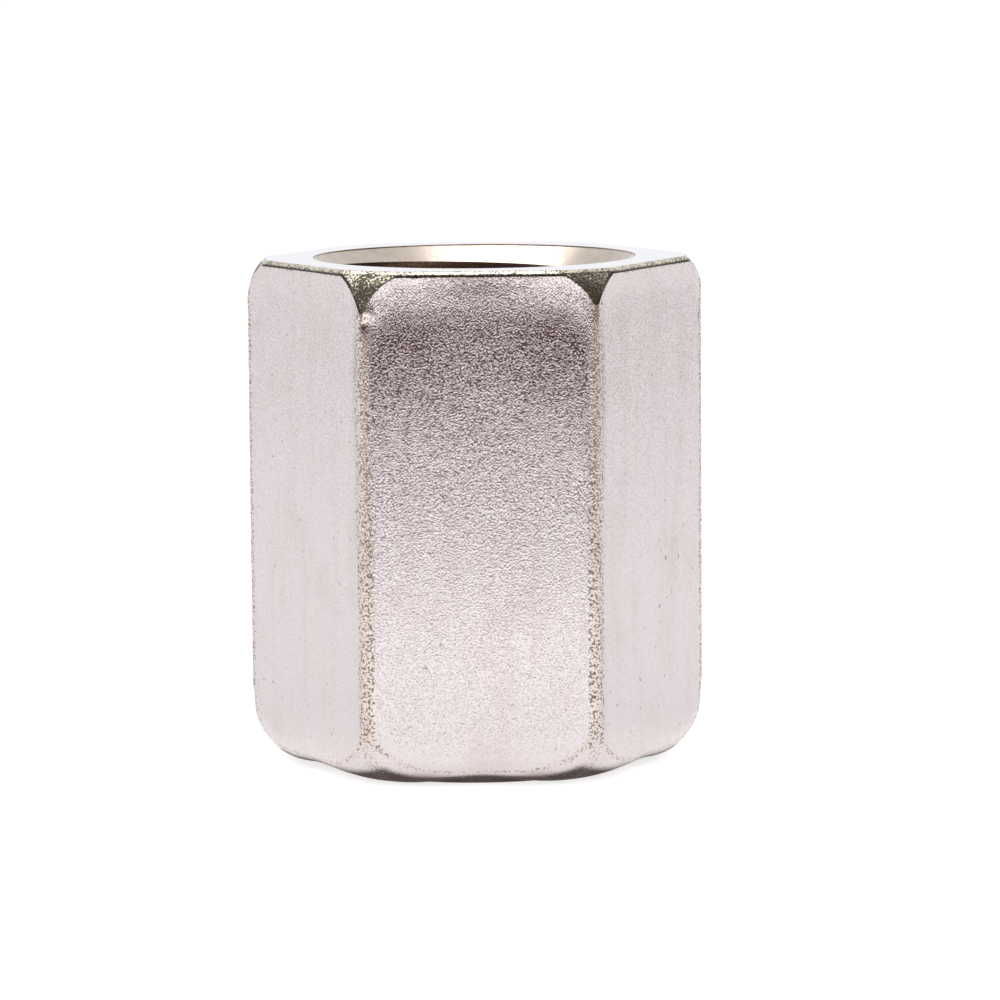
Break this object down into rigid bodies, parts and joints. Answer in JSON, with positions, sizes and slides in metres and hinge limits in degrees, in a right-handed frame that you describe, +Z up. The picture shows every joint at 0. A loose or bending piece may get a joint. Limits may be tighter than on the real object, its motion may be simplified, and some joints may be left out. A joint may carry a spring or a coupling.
{
  "type": "pipe coupling",
  "caption": "Straight hexagon pipe coupling with a female pipe thread at each end, a stop collar inside and a flat gasket on each side of it.",
  "frame": {"origin": "centre of the lower end face, on the bore's axis", "axes": "+Z up along the pipe, with two of the six flats facing -Y and +Y and two of the corners on the X axis"},
  "size_m": [0.031, 0.027, 0.0345],
  "materials": {
    "nickel_plated_brass": "nickel plated over brass, grit blasted outside, turned bright on the upper end, in the mouths and in the sockets",
    "gasket_rubber": "matt moulded"
  },
  "bodies": {
    "root": {"coupling_body": "nickel_plated_brass", "upper_gasket": "gasket_rubber", "lower_gasket": "gasket_rubber"}
  },
  "joints": []
}
